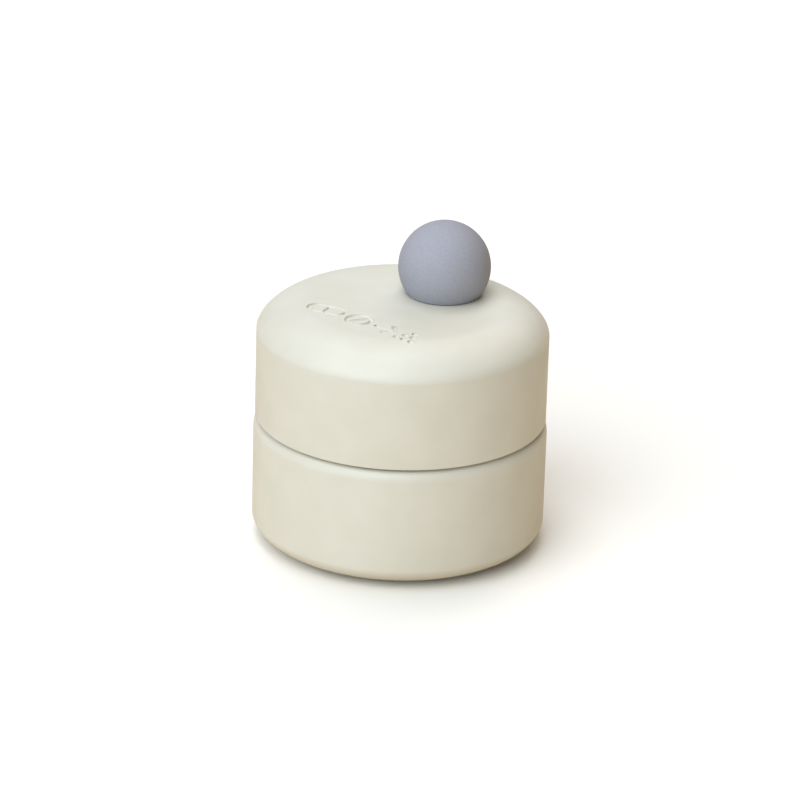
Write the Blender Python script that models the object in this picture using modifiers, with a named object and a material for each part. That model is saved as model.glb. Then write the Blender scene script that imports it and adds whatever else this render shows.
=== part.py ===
"""Rotary pill crusher: two round plastic halves, one above the other, with a ball grip set off centre.

The lower half stays in the hand or on the table. It holds a powder cup and, above it, a milling
chamber whose floor is a ridged steel plate. The upper half is the rotor: turning it by the ball drags
a second ridged plate, pressed down by a spring, round over the first one. Tablets are laid on the
lower plate with the lid off, and the powder falls through the plate's slots into the cup.

Metres, +Z up. The origin is the middle of the face that the crusher stands on, and the lid turns
about the Z axis. Run it with: blender --background --python part.py
"""

import math

import bmesh
import bpy
from mathutils import Matrix

MM = 0.001

# ---------------------------------------------------------------- driving dimensions
FIT = 0.3 * MM  # gap between pieces that touch
RUNNING = 0.6 * MM  # gap between pieces that pass each other in use

BASE_RADIUS = 35.0 * MM
BASE_HEIGHT = 30.0 * MM
BASE_WALL = 2.4 * MM
BASE_FLOOR = 2.4 * MM
BASE_EDGE_REACH = 9.4 * MM  # radial size of the rounded bottom edge
BASE_EDGE_RISE = 5.2 * MM  # its height
SHOULDER_RISE = 2.8 * MM  # height of the rounded top edge
RIM_FLAT = 0.2 * MM  # what is left flat inside it
LEDGE_WIDTH = 1.6 * MM  # the chamber stands on this ledge

PAD_OUTER = 24.0 * MM
PAD_INNER = 16.0 * MM
PAD_THICKNESS = 1.6 * MM
PAD_PROUD = 0.4 * MM

CUP_WALL = 1.5 * MM
CUP_CORNER = 4.5 * MM

CHAMBER_WALL = 2.2 * MM
CHAMBER_FLOOR = 2.0 * MM
FLANGE_HEIGHT = 5.8 * MM  # the part of the chamber that fits the base above the ledge
COLLAR_RISE = 5.6 * MM  # how far the chamber's collar goes up into the lid

KEY_WIDTH = 4.0 * MM  # the ribs and lugs that stop the chamber and the ring from turning
KEY_DEPTH = 1.2 * MM
KEY_HEIGHT = 3.0 * MM
KEY_COUNT = 3

LID_STEP = 0.35 * MM  # how much smaller the lid's radius is than the base's
LID_HEIGHT = 28.1 * MM
LID_WALL = 2.4 * MM
LID_ROOF = 2.6 * MM
LID_EDGE_REACH = 11.5 * MM
LID_EDGE_RISE = 7.0 * MM
LID_EDGE_FULLNESS = 1.7  # 2 is a quarter of an ellipse, less is flatter
SEAM = 0.6 * MM  # the gap that shows between the two halves
BEAD_PROUD = 0.8 * MM  # the lid's inner bead, which keeps the glide ring in
BEAD_HEIGHT = 1.0 * MM

RING_THICKNESS = 1.2 * MM
RING_SKIRT_WALL = 1.9 * MM
RING_SKIRT_DEPTH = 4.3 * MM
SEAL_SECTION = 0.7 * MM  # radius of the seal's round section

LINER_THICKNESS = 2.4 * MM
SOCKET_WALL = 1.5 * MM
TOWER_WALL = 1.8 * MM

BURR_PLATE = 2.0 * MM
RIDGE_HEIGHT = 1.2 * MM
RIDGE_WIDTH = 1.5 * MM
RIDGE_START = 4.5 * MM
RIDGE_COUNT = 12
RIDGE_LEAD = 3.0 * MM  # how far each ridge passes to one side of the axis
SLOT_WIDTH = 1.8 * MM
SLOT_LENGTH = 8.5 * MM

HEAD_TRAVEL = 6.5 * MM  # how far tablets can lift the grinding head
CARRIER_PLATE = 4.0 * MM
CARRIER_HUB_RISE = 1.0 * MM
STEM_FLATS = 12.0 * MM  # across the flats of the hexagon
WASHER_RADIUS = 7.4 * MM
WASHER_THICKNESS = 1.0 * MM
SPRING_WIRE = 1.2 * MM
SPRING_TURNS = 6

SCREW_HEAD_RADIUS = 2.0 * MM
SCREW_HEAD_HEIGHT = 1.2 * MM
SCREW_SHANK = 1.0 * MM
SCREW_COUNT = 3
BURR_SCREW_LENGTH = 3.6 * MM
LINER_SCREW_LENGTH = 10.0 * MM
POST_RADIUS = 3.4 * MM
POST_HOLE_DEPTH = 9.0 * MM
STEM_SCREW_HEAD = 3.2 * MM
STEM_SCREW_HEAD_HEIGHT = 1.6 * MM
STEM_SCREW_SHANK = 1.5 * MM
STEM_SCREW_LENGTH = 11.0 * MM

BALL_RADIUS = 11.0 * MM
BALL_FLAT_SHARE = 0.585  # how far below its centre the ball is cut flat, as a share of its radius
KNOB_OFFSET = 11.9 * MM  # from the lid's axis to the ball's
KNOB_ANGLE = math.radians(38.0)
BUSH_BORE = 2.5 * MM
BUSH_WALL = 1.1 * MM
BUSH_FLANGE = 1.4 * MM  # how far the flange stands out past the sleeve
BUSH_FLANGE_THICKNESS = 0.8 * MM
KNOB_BOSS_WALL = 2.0 * MM
KNOB_BOSS_DEPTH = 1.1 * MM
THRUST_WASHER_THICKNESS = 0.8 * MM
PIN_RADIUS = 2.2 * MM
PIN_THREAD_RADIUS = 1.8 * MM
PIN_HEAD_RADIUS = 3.8 * MM
PIN_HEAD_HEIGHT = 1.6 * MM
INSERT_WALL = 1.2 * MM
INSERT_LENGTH = 7.0 * MM

ROUND = 40  # sides of the large turned pieces
SMALL_ROUND = 16  # sides of the screws and pins

# ---------------------------------------------------------------- outer shells, from the dimensions above
BASE_BOTTOM = PAD_PROUD
BASE_TOP = BASE_BOTTOM + BASE_HEIGHT
BASE_FLOOR_TOP = BASE_BOTTOM + BASE_FLOOR
BASE_BORE = BASE_RADIUS - BASE_WALL
LEDGE_BORE = BASE_BORE - LEDGE_WIDTH
SHOULDER_REACH = BASE_WALL - RIM_FLAT
LEDGE_TOP = BASE_TOP - FLANGE_HEIGHT - 2 * FIT

LID_RADIUS = BASE_RADIUS - LID_STEP
LID_BOTTOM = BASE_TOP + SEAM
LID_TOP = LID_BOTTOM + LID_HEIGHT
LID_BORE = LID_RADIUS - LID_WALL
LID_CEILING = LID_TOP - LID_ROOF

# ball grip
KNOB_X = KNOB_OFFSET * math.cos(KNOB_ANGLE)
KNOB_Y = KNOB_OFFSET * math.sin(KNOB_ANGLE)
BALL_FLAT_DEPTH = BALL_FLAT_SHARE * BALL_RADIUS
BALL_FLAT = LID_TOP + FIT
BALL_CENTRE = BALL_FLAT + BALL_FLAT_DEPTH
BUSH_RADIUS = BUSH_BORE + BUSH_WALL
BUSH_FLANGE_RADIUS = BUSH_RADIUS + BUSH_FLANGE
BUSH_TOP = LID_TOP - FIT
KNOB_BOSS_BOTTOM = LID_CEILING - KNOB_BOSS_DEPTH
PIN_HEAD_TOP = KNOB_BOSS_BOTTOM - FIT
PIN_HEAD_BOTTOM = PIN_HEAD_TOP - PIN_HEAD_HEIGHT
THRUST_WASHER_BOTTOM = BALL_FLAT
THRUST_WASHER_TOP = THRUST_WASHER_BOTTOM + THRUST_WASHER_THICKNESS
BALL_RECESS_TOP = THRUST_WASHER_TOP + FIT
PIN_SHOULDER_TOP = BALL_RECESS_TOP + FIT
INSERT_BOTTOM = PIN_SHOULDER_TOP + FIT
INSERT_TOP = INSERT_BOTTOM + INSERT_LENGTH
INSERT_BORE = PIN_THREAD_RADIUS + FIT
INSERT_RADIUS = INSERT_BORE + INSERT_WALL
PIN_TOP = INSERT_TOP - FIT

# what turns between them, from the lid inwards and downwards
BEAD_BORE = LID_BORE - BEAD_PROUD
COLLAR_TOP = BASE_TOP + COLLAR_RISE
COLLAR_RADIUS = BEAD_BORE - RUNNING
CHAMBER_BORE = COLLAR_RADIUS - CHAMBER_WALL

RING_BOTTOM = COLLAR_TOP + FIT
RING_TOP = RING_BOTTOM + RING_THICKNESS
RING_RADIUS = LID_BORE - FIT
RING_SKIRT_RADIUS = CHAMBER_BORE - FIT
RING_SKIRT_BOTTOM = RING_BOTTOM - RING_SKIRT_DEPTH
RING_BORE = RING_SKIRT_RADIUS - RING_SKIRT_WALL
SEAL_HEIGHT = RING_BOTTOM - RING_SKIRT_DEPTH / 2
SEAL_RADIUS = RING_SKIRT_RADIUS - SEAL_SECTION + FIT / 2  # circle of the section's centre
BEAD_TOP = RING_BOTTOM - FIT

LINER_BOTTOM = RING_TOP + FIT
LINER_TOP = LINER_BOTTOM + LINER_THICKNESS
LINER_RADIUS = LID_BORE - FIT
POST_BOTTOM = LINER_TOP + FIT
LINER_SCREW_CIRCLE = LID_BORE - 2 * POST_RADIUS - RUNNING
TOWER_TOP = PIN_HEAD_BOTTOM - RUNNING
TOWER_CEILING = TOWER_TOP - TOWER_WALL
WASHER_BOTTOM = PIN_HEAD_BOTTOM - RUNNING - HEAD_TRAVEL - WASHER_THICKNESS
STEM_SCREW_SEAT = WASHER_BOTTOM + WASHER_THICKNESS + FIT
STEM_TOP = WASHER_BOTTOM - FIT
SOCKET_FLATS = STEM_FLATS + 2 * FIT
WASHER_BORE_RADIUS = WASHER_RADIUS + RUNNING + FIT
SOCKET_TUBE_RADIUS = WASHER_BORE_RADIUS + SOCKET_WALL
SPRING_RADIUS = SOCKET_TUBE_RADIUS + RUNNING + SPRING_WIRE / 2  # to the wire's centre
SPRING_POCKET_RADIUS = SPRING_RADIUS + SPRING_WIRE / 2 + RUNNING
TOWER_RADIUS = SPRING_POCKET_RADIUS + TOWER_WALL

BURR_RADIUS = RING_BORE - RUNNING - FIT
CARRIER_TOP = LINER_BOTTOM - RUNNING - HEAD_TRAVEL - CARRIER_HUB_RISE
CARRIER_BOTTOM = CARRIER_TOP - CARRIER_PLATE
UPPER_PLATE_TOP = CARRIER_BOTTOM - FIT
UPPER_PLATE_BOTTOM = UPPER_PLATE_TOP - BURR_PLATE
LOWER_PLATE_TOP = UPPER_PLATE_BOTTOM - 2 * RIDGE_HEIGHT - FIT
LOWER_PLATE_BOTTOM = LOWER_PLATE_TOP - BURR_PLATE
LOWER_PLATE_RADIUS = CHAMBER_BORE - FIT
UPPER_SCREW_CIRCLE = BURR_RADIUS - SCREW_HEAD_RADIUS - RUNNING
LOWER_SCREW_CIRCLE = LOWER_PLATE_RADIUS - SCREW_HEAD_RADIUS - 2 * RUNNING
RIDGE_END = UPPER_SCREW_CIRCLE - SCREW_HEAD_RADIUS - 2 * FIT
SLOT_END = RIDGE_END - 1.0 * MM

CHAMBER_FLOOR_TOP = LOWER_PLATE_BOTTOM - FIT
CHAMBER_BOTTOM = CHAMBER_FLOOR_TOP - CHAMBER_FLOOR
CHAMBER_OUTLET = LOWER_SCREW_CIRCLE - SCREW_HEAD_RADIUS - SCREW_SHANK  # radius of the hole in its floor
CHAMBER_LOWER_RADIUS = LEDGE_BORE - FIT
CHAMBER_FLANGE_RADIUS = BASE_BORE - FIT
CHAMBER_FLANGE_BOTTOM = LEDGE_TOP + FIT
CHAMBER_FLANGE_TOP = BASE_TOP - FIT

CUP_RADIUS = LEDGE_BORE - RUNNING
CUP_BOTTOM = BASE_FLOOR_TOP + FIT
CUP_TOP = CHAMBER_BOTTOM - FIT


# ---------------------------------------------------------------- scene, materials, helpers
def clear_scene():
    for obj in list(bpy.data.objects):
        bpy.data.objects.remove(obj, do_unlink=True)


def new_collection(name):
    collection = bpy.data.collections.new(name)
    bpy.context.scene.collection.children.link(collection)
    return collection


def new_material(name, colour, roughness, metallic=0.0):
    material = bpy.data.materials.new(name)
    material.use_nodes = True
    shader = material.node_tree.nodes["Principled BSDF"]
    shader.inputs["Base Color"].default_value = (*colour, 1.0)
    shader.inputs["Roughness"].default_value = roughness
    shader.inputs["Metallic"].default_value = metallic
    return material


clear_scene()
PARTS = new_collection("pill_crusher")
HELPERS = new_collection("cutters")

CREAM = new_material("cream_plastic", (0.76, 0.73, 0.62), 0.45)
SLATE = new_material("slate_soft_touch", (0.36, 0.38, 0.45), 0.7)
WHITE = new_material("white_plastic", (0.82, 0.81, 0.77), 0.4)
CLEAR = new_material("frosted_plastic", (0.80, 0.82, 0.82), 0.35)
ACETAL = new_material("acetal", (0.86, 0.85, 0.82), 0.35)
SILICONE = new_material("grey_silicone", (0.33, 0.34, 0.37), 0.75)
STEEL = new_material("stainless_steel", (0.62, 0.62, 0.60), 0.3, 1.0)
SPRING_STEEL = new_material("spring_steel", (0.50, 0.50, 0.50), 0.35, 1.0)
BRASS = new_material("brass", (0.72, 0.55, 0.28), 0.3, 1.0)


def add_object(name, data, material=None, collection=PARTS, at=(0.0, 0.0, 0.0)):
    obj = bpy.data.objects.new(name, data)
    obj.location = at
    collection.objects.link(obj)
    if material:
        data.materials.append(material)
    if collection is HELPERS:
        obj.hide_render = True
        obj.display_type = "WIRE"
    return obj


def arc(centre, reach_r, reach_z, start, end, steps, fullness=2.0):
    """Points on part of an ellipse round centre, from start to end degrees, 0 being outwards and 90 up."""
    points = []
    for i in range(steps + 1):
        angle = math.radians(start + (end - start) * i / steps)
        across, up = math.cos(angle), math.sin(angle)
        points.append(
            (
                centre[0] + reach_r * math.copysign(abs(across) ** (2 / fullness), across),
                centre[1] + reach_z * math.copysign(abs(up) ** (2 / fullness), up),
            )
        )
    return points


def turned(name, profile, material=None, at=(0.0, 0.0, 0.0), sides=ROUND, collection=PARTS):
    """A turned solid. The profile holds (radius, height) and runs down the outside and back up the
    inside; one that starts and ends on the axis stays open there."""
    mesh = bpy.data.meshes.new(name)
    points = [(radius, 0.0, height) for radius, height in profile]
    edges = [(i, i + 1) for i in range(len(points) - 1)]
    starts_on_axis = profile[0][0] < 0.001 * MM
    if not starts_on_axis:
        edges.append((len(points) - 1, 0))
    mesh.from_pydata(points, edges, [])
    obj = add_object(name, mesh, material, collection, at)
    turn = obj.modifiers.new("Turn", "SCREW")
    turn.steps = sides
    turn.render_steps = sides
    turn.use_merge_vertices = True
    turn.merge_threshold = 0.01 * MM
    return obj


def tube_profile(inner, outer, bottom, top):
    return [(outer, top), (outer, bottom), (inner, bottom), (inner, top)]


def around(count, radius, start=0.0):
    """Places evenly spaced on a circle about the Z axis."""
    turns = [start + 2 * math.pi * i / count for i in range(count)]
    return [(radius * math.cos(turn), radius * math.sin(turn)) for turn in turns]


def rods(name, places, radius, bottom, top, sides=SMALL_ROUND, end_radius=None):
    """Helper: upright rods, or cones with end_radius at the top."""
    shape = bmesh.new()
    for x, y in places:
        bmesh.ops.create_cone(
            shape,
            cap_ends=True,
            segments=sides,
            radius1=radius,
            radius2=radius if end_radius is None else end_radius,
            depth=top - bottom,
            matrix=Matrix.Translation((x, y, (bottom + top) / 2)),
        )
    mesh = bpy.data.meshes.new(name)
    shape.to_mesh(mesh)
    shape.free()
    return add_object(name, mesh, collection=HELPERS)


def bars(name, count, inner, outer, width, bottom, top, sideways=0.0, start=0.0):
    """Helper: straight radial bars, each shifted sideways from the radius that it follows."""
    shape = bmesh.new()
    size = Matrix.Diagonal((outer - inner, width, top - bottom, 1.0))
    middle = Matrix.Translation(((inner + outer) / 2, sideways, (bottom + top) / 2))
    for i in range(count):
        turn = Matrix.Rotation(start + 2 * math.pi * i / count, 4, "Z")
        bmesh.ops.create_cube(shape, size=1.0, matrix=turn @ middle @ size)
    mesh = bpy.data.meshes.new(name)
    shape.to_mesh(mesh)
    shape.free()
    return add_object(name, mesh, collection=HELPERS)


def combine(obj, helper, operation):
    """Cuts the helper out of obj (DIFFERENCE) or joins it on (UNION)."""
    step = obj.modifiers.new(operation.title() + " " + helper.name, "BOOLEAN")
    step.operation = operation
    step.solver = "EXACT"
    step.object = helper


def across_flats(flats):
    """Radius of the circle through a hexagon's corners."""
    return flats / math.sqrt(3)


def countersunk_screw(name, at, length, driven_from_below=False):
    """A screw with its flat head's face at the given place."""
    profile = [
        (0.0, 0.0),
        (SCREW_HEAD_RADIUS, 0.0),
        (SCREW_SHANK, -SCREW_HEAD_HEIGHT),
        (SCREW_SHANK, -length + SCREW_SHANK / 2),
        (0.0, -length),
    ]
    obj = turned(name, profile, STEEL, at, SMALL_ROUND)
    if driven_from_below:
        obj.rotation_euler.x = math.pi
    return obj


def countersinks(name, places, face, depth, opens_down=False):
    """Helpers for flat-headed screws: the cone for the heads and the clearance hole for the shanks."""
    head = SCREW_HEAD_RADIUS + FIT
    shank = SCREW_SHANK + FIT
    sunk = SCREW_HEAD_HEIGHT + FIT
    slope = (head - shank) / sunk
    past = FIT  # cutters run on past the face
    if opens_down:
        cone = rods(name + "_heads", places, head + slope * past, face - past, face + sunk, end_radius=shank)
        hole = rods(name + "_shanks", places, shank, face + sunk / 2, face + depth)
    else:
        cone = rods(name + "_heads", places, shank, face - sunk, face + past, end_radius=head + slope * past)
        hole = rods(name + "_shanks", places, shank, face - depth, face - sunk / 2)
    return cone, hole


# ---------------------------------------------------------------- lower half
def make_base_shell():
    """The outer cup of the lower half: a rounded foot edge, a small shoulder, and a ledge inside."""
    inner_corner = CUP_CORNER - CUP_WALL
    inside_floor = arc(
        (LEDGE_BORE - inner_corner, BASE_FLOOR_TOP + inner_corner), inner_corner, inner_corner, -90, 0, 3
    )
    ledge = [(LEDGE_BORE, LEDGE_TOP), (BASE_BORE, LEDGE_TOP), (BASE_BORE, BASE_TOP)]
    shoulder = arc(
        (BASE_RADIUS - SHOULDER_REACH, BASE_TOP - SHOULDER_RISE),
        SHOULDER_REACH, SHOULDER_RISE, 90, 0, 4,
    )
    foot_edge = arc(
        (BASE_RADIUS - BASE_EDGE_REACH, BASE_BOTTOM + BASE_EDGE_RISE),
        BASE_EDGE_REACH, BASE_EDGE_RISE, 0, -90, 6,
    )
    recess_top = PAD_THICKNESS + FIT
    pad_recess = [
        (PAD_OUTER + FIT, BASE_BOTTOM),
        (PAD_OUTER + FIT, recess_top),
        (PAD_INNER - FIT, recess_top),
        (PAD_INNER - FIT, BASE_BOTTOM),
    ]
    profile = (
        [(0.0, BASE_FLOOR_TOP)] + inside_floor + ledge + shoulder + foot_edge + pad_recess + [(0.0, BASE_BOTTOM)]
    )
    shell = turned("base_shell", profile, CREAM)
    keys = bars(
        "base_key_bars", KEY_COUNT, BASE_BORE - KEY_DEPTH, BASE_BORE + BASE_WALL / 2,
        KEY_WIDTH, LEDGE_TOP - FIT, LEDGE_TOP + KEY_HEIGHT,
    )
    combine(shell, keys, "UNION")


def make_foot_pad():
    turned("foot_pad", tube_profile(PAD_INNER, PAD_OUTER, 0.0, PAD_THICKNESS), SILICONE)


def make_powder_cup():
    """The cup under the mill. Its rim has a small rounded lip to pour over."""
    outside = arc((CUP_RADIUS - CUP_CORNER, CUP_BOTTOM + CUP_CORNER), CUP_CORNER, CUP_CORNER, 0, -90, 4)
    inner_corner = CUP_CORNER - CUP_WALL
    inside = arc(
        (CUP_RADIUS - CUP_CORNER, CUP_BOTTOM + CUP_CORNER), inner_corner, inner_corner, -90, 0, 4
    )
    lip = arc((CUP_RADIUS - CUP_WALL / 2, CUP_TOP - CUP_WALL / 2), CUP_WALL / 2, CUP_WALL / 2, 180, 0, 4)
    profile = [(0.0, CUP_BOTTOM + CUP_WALL)] + inside + lip + outside + [(0.0, CUP_BOTTOM)]
    turned("powder_cup", profile, CLEAR)


def make_chamber_body():
    """The mill's housing: a ring on the base's ledge, with a collar up into the lid and a floor below."""
    profile = [
        (COLLAR_RADIUS, COLLAR_TOP),
        (COLLAR_RADIUS, CHAMBER_FLANGE_TOP),
        (CHAMBER_FLANGE_RADIUS, CHAMBER_FLANGE_TOP),
        (CHAMBER_FLANGE_RADIUS, CHAMBER_FLANGE_BOTTOM),
        (CHAMBER_LOWER_RADIUS, CHAMBER_FLANGE_BOTTOM),
        (CHAMBER_LOWER_RADIUS, CHAMBER_BOTTOM),
        (CHAMBER_OUTLET, CHAMBER_BOTTOM),
        (CHAMBER_OUTLET, CHAMBER_FLOOR_TOP),
        (CHAMBER_BORE, CHAMBER_FLOOR_TOP),
        (CHAMBER_BORE, COLLAR_TOP),
    ]
    chamber = turned("chamber_body", profile, WHITE)
    key_ways = bars(
        "chamber_key_ways", KEY_COUNT, CHAMBER_FLANGE_RADIUS - KEY_DEPTH - FIT, BASE_RADIUS,
        KEY_WIDTH + 2 * FIT, CHAMBER_FLANGE_BOTTOM - FIT, CHAMBER_FLANGE_TOP + FIT,
    )
    lug_notches = bars(
        "chamber_lug_notches", KEY_COUNT, CHAMBER_BORE - CHAMBER_WALL, COLLAR_RADIUS + FIT,
        KEY_WIDTH + 2 * FIT, COLLAR_TOP - KEY_DEPTH - FIT, COLLAR_TOP + FIT,
    )
    screw_holes = rods(
        "chamber_screw_holes", around(SCREW_COUNT, LOWER_SCREW_CIRCLE, math.pi / 3),
        SCREW_SHANK + FIT, CHAMBER_BOTTOM - FIT, CHAMBER_FLOOR_TOP + FIT,
    )
    for helper in (key_ways, lug_notches, screw_holes):
        combine(chamber, helper, "DIFFERENCE")


def make_lower_burr():
    """The fixed grinding plate: ridges on its upper face, and slots that let the powder fall."""
    profile = [
        (0.0, LOWER_PLATE_TOP),
        (LOWER_PLATE_RADIUS, LOWER_PLATE_TOP),
        (LOWER_PLATE_RADIUS, LOWER_PLATE_BOTTOM),
        (0.0, LOWER_PLATE_BOTTOM),
    ]
    plate = turned("lower_burr", profile, STEEL)
    ridges = bars(
        "lower_ridges", RIDGE_COUNT, RIDGE_START, RIDGE_END, RIDGE_WIDTH,
        LOWER_PLATE_TOP - BURR_PLATE / 2, LOWER_PLATE_TOP + RIDGE_HEIGHT, RIDGE_LEAD,
    )
    combine(plate, ridges, "UNION")
    slots = bars(
        "lower_slots", RIDGE_COUNT, SLOT_END - SLOT_LENGTH, SLOT_END, SLOT_WIDTH,
        LOWER_PLATE_BOTTOM - FIT, LOWER_PLATE_TOP + FIT, RIDGE_LEAD, math.pi / RIDGE_COUNT,
    )
    combine(plate, slots, "DIFFERENCE")
    places = around(SCREW_COUNT, LOWER_SCREW_CIRCLE, math.pi / 3)
    for helper in countersinks("lower_burr", places, LOWER_PLATE_TOP, BURR_PLATE + FIT):
        combine(plate, helper, "DIFFERENCE")
    for i, (x, y) in enumerate(places):
        countersunk_screw(f"lower_burr_screw_{i + 1}", (x, y, LOWER_PLATE_TOP), BURR_SCREW_LENGTH)


# ---------------------------------------------------------------- what lifts off with the lid but stands still
def make_glide_ring():
    """The ring that the lid turns on. It plugs into the chamber, and its lugs stop it from turning."""
    groove = SEAL_SECTION + FIT / 2
    groove_floor = SEAL_RADIUS - SEAL_SECTION - FIT
    profile = [
        (RING_RADIUS, RING_TOP),
        (RING_RADIUS, RING_BOTTOM),
        (RING_SKIRT_RADIUS, RING_BOTTOM),
        (RING_SKIRT_RADIUS, SEAL_HEIGHT + groove),
        (groove_floor, SEAL_HEIGHT + groove),
        (groove_floor, SEAL_HEIGHT - groove),
        (RING_SKIRT_RADIUS, SEAL_HEIGHT - groove),
        (RING_SKIRT_RADIUS, RING_SKIRT_BOTTOM),
        (RING_BORE, RING_SKIRT_BOTTOM),
        (RING_BORE, RING_TOP),
    ]
    ring = turned("glide_ring", profile, ACETAL)
    lugs = bars(
        "ring_lug_bars", KEY_COUNT, RING_SKIRT_RADIUS - RING_SKIRT_WALL / 2, COLLAR_RADIUS,
        KEY_WIDTH, RING_BOTTOM - KEY_DEPTH, RING_BOTTOM + RING_THICKNESS / 2,
    )
    combine(ring, lugs, "UNION")


def make_plug_seal():
    """The soft ring round the glide ring's skirt, which keeps powder in and the lid from slipping off."""
    bpy.ops.mesh.primitive_torus_add(
        major_segments=ROUND,
        minor_segments=8,
        major_radius=SEAL_RADIUS,
        minor_radius=SEAL_SECTION,
        location=(0.0, 0.0, SEAL_HEIGHT),
    )
    seal = bpy.context.object
    seal.name = "plug_seal"
    seal.data.materials.append(SILICONE)
    for collection in list(seal.users_collection):
        collection.objects.unlink(seal)
    PARTS.objects.link(seal)


# ---------------------------------------------------------------- upper half
def make_lid_shell():
    """The outer cap of the upper half, with the posts for the liner's screws and the ball's boss inside."""
    edge = arc(
        (LID_RADIUS - LID_EDGE_REACH, LID_TOP - LID_EDGE_RISE),
        LID_EDGE_REACH, LID_EDGE_RISE, 90, 0, 8, LID_EDGE_FULLNESS,
    )
    inner_reach = LID_EDGE_REACH - LID_WALL
    inner_rise = LID_EDGE_RISE - LID_ROOF + FIT
    inner_edge = arc(
        (LID_BORE - inner_reach, LID_CEILING - inner_rise), inner_reach, inner_rise, 0, 90, 5, LID_EDGE_FULLNESS
    )
    bead = [
        (LID_BORE, BEAD_TOP - BEAD_HEIGHT - BEAD_PROUD),
        (BEAD_BORE, BEAD_TOP - BEAD_HEIGHT),
        (BEAD_BORE, BEAD_TOP),
        (LID_BORE, BEAD_TOP),
    ]
    profile = (
        [(0.0, LID_TOP)] + edge + [(LID_RADIUS, LID_BOTTOM), (LID_BORE, LID_BOTTOM)]
        + bead + inner_edge + [(0.0, LID_CEILING)]
    )
    lid = turned("lid_shell", profile, CREAM)
    knob = (KNOB_X, KNOB_Y)
    posts = around(SCREW_COUNT, LINER_SCREW_CIRCLE, math.pi / 2)
    joined = (
        rods("lid_posts", posts, POST_RADIUS, POST_BOTTOM, LID_CEILING + FIT),
        rods("knob_boss", [knob], BUSH_RADIUS + KNOB_BOSS_WALL, KNOB_BOSS_BOTTOM, LID_CEILING + LID_ROOF / 2),
    )
    for helper in joined:
        combine(lid, helper, "UNION")
    flange_seat = BUSH_TOP - BUSH_FLANGE_THICKNESS - FIT
    removed = (
        rods("post_holes", posts, SCREW_SHANK + FIT, POST_BOTTOM - FIT, POST_BOTTOM + POST_HOLE_DEPTH),
        rods("bush_hole", [knob], BUSH_RADIUS + FIT, KNOB_BOSS_BOTTOM - FIT, LID_TOP + FIT),
        rods("bush_flange_seat", [knob], BUSH_FLANGE_RADIUS + FIT, flange_seat, LID_TOP + FIT),
    )
    for helper in removed:
        combine(lid, helper, "DIFFERENCE")


def make_lid_liner():
    """The cover under the lid. Its tower holds the spring, and its hexagonal socket drives the head."""
    profile = [
        (WASHER_BORE_RADIUS, TOWER_TOP),
        (TOWER_RADIUS, TOWER_TOP),
        (TOWER_RADIUS, LINER_TOP),
        (LINER_RADIUS, LINER_TOP),
        (LINER_RADIUS, LINER_BOTTOM),
        (SPRING_POCKET_RADIUS, LINER_BOTTOM),
        (SPRING_POCKET_RADIUS, TOWER_CEILING),
        (SOCKET_TUBE_RADIUS, TOWER_CEILING),
        (SOCKET_TUBE_RADIUS, LINER_BOTTOM),
        (STEM_FLATS / 4, LINER_BOTTOM),
        (STEM_FLATS / 4, STEM_TOP),
        (WASHER_BORE_RADIUS, STEM_TOP),
    ]
    liner = turned("lid_liner", profile, WHITE)
    socket = rods(
        "socket_hexagon", [(0.0, 0.0)], across_flats(SOCKET_FLATS),
        LINER_BOTTOM - FIT, STEM_TOP + FIT, sides=6,
    )
    combine(liner, socket, "DIFFERENCE")
    places = around(SCREW_COUNT, LINER_SCREW_CIRCLE, math.pi / 2)
    for helper in countersinks("liner", places, LINER_BOTTOM, LINER_THICKNESS + FIT, opens_down=True):
        combine(liner, helper, "DIFFERENCE")
    for i, (x, y) in enumerate(places):
        countersunk_screw(
            f"liner_screw_{i + 1}", (x, y, LINER_BOTTOM), LINER_SCREW_LENGTH, driven_from_below=True
        )


# ---------------------------------------------------------------- grinding head
def make_head_carrier():
    """The plastic plate that carries the upper burr, with the hexagonal stem that the lid turns."""
    hub_top = CARRIER_TOP + CARRIER_HUB_RISE
    profile = [
        (0.0, hub_top),
        (SOCKET_TUBE_RADIUS, hub_top),
        (SOCKET_TUBE_RADIUS, CARRIER_TOP),
        (BURR_RADIUS, CARRIER_TOP),
        (BURR_RADIUS, CARRIER_BOTTOM),
        (0.0, CARRIER_BOTTOM),
    ]
    carrier = turned("head_carrier", profile, WHITE)
    stem = rods(
        "stem_hexagon", [(0.0, 0.0)], across_flats(STEM_FLATS),
        CARRIER_BOTTOM + CARRIER_PLATE / 2, STEM_TOP, sides=6,
    )
    combine(carrier, stem, "UNION")
    places = around(SCREW_COUNT, UPPER_SCREW_CIRCLE)
    screw_tip = UPPER_PLATE_BOTTOM + BURR_SCREW_LENGTH
    holes = (
        rods("stem_hole", [(0.0, 0.0)], STEM_SCREW_SHANK + FIT,
             STEM_SCREW_SEAT - STEM_SCREW_LENGTH - FIT, STEM_TOP + FIT),
        rods("carrier_screw_holes", places, SCREW_SHANK + FIT, CARRIER_BOTTOM - FIT, screw_tip + FIT),
    )
    for helper in holes:
        combine(carrier, helper, "DIFFERENCE")


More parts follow.
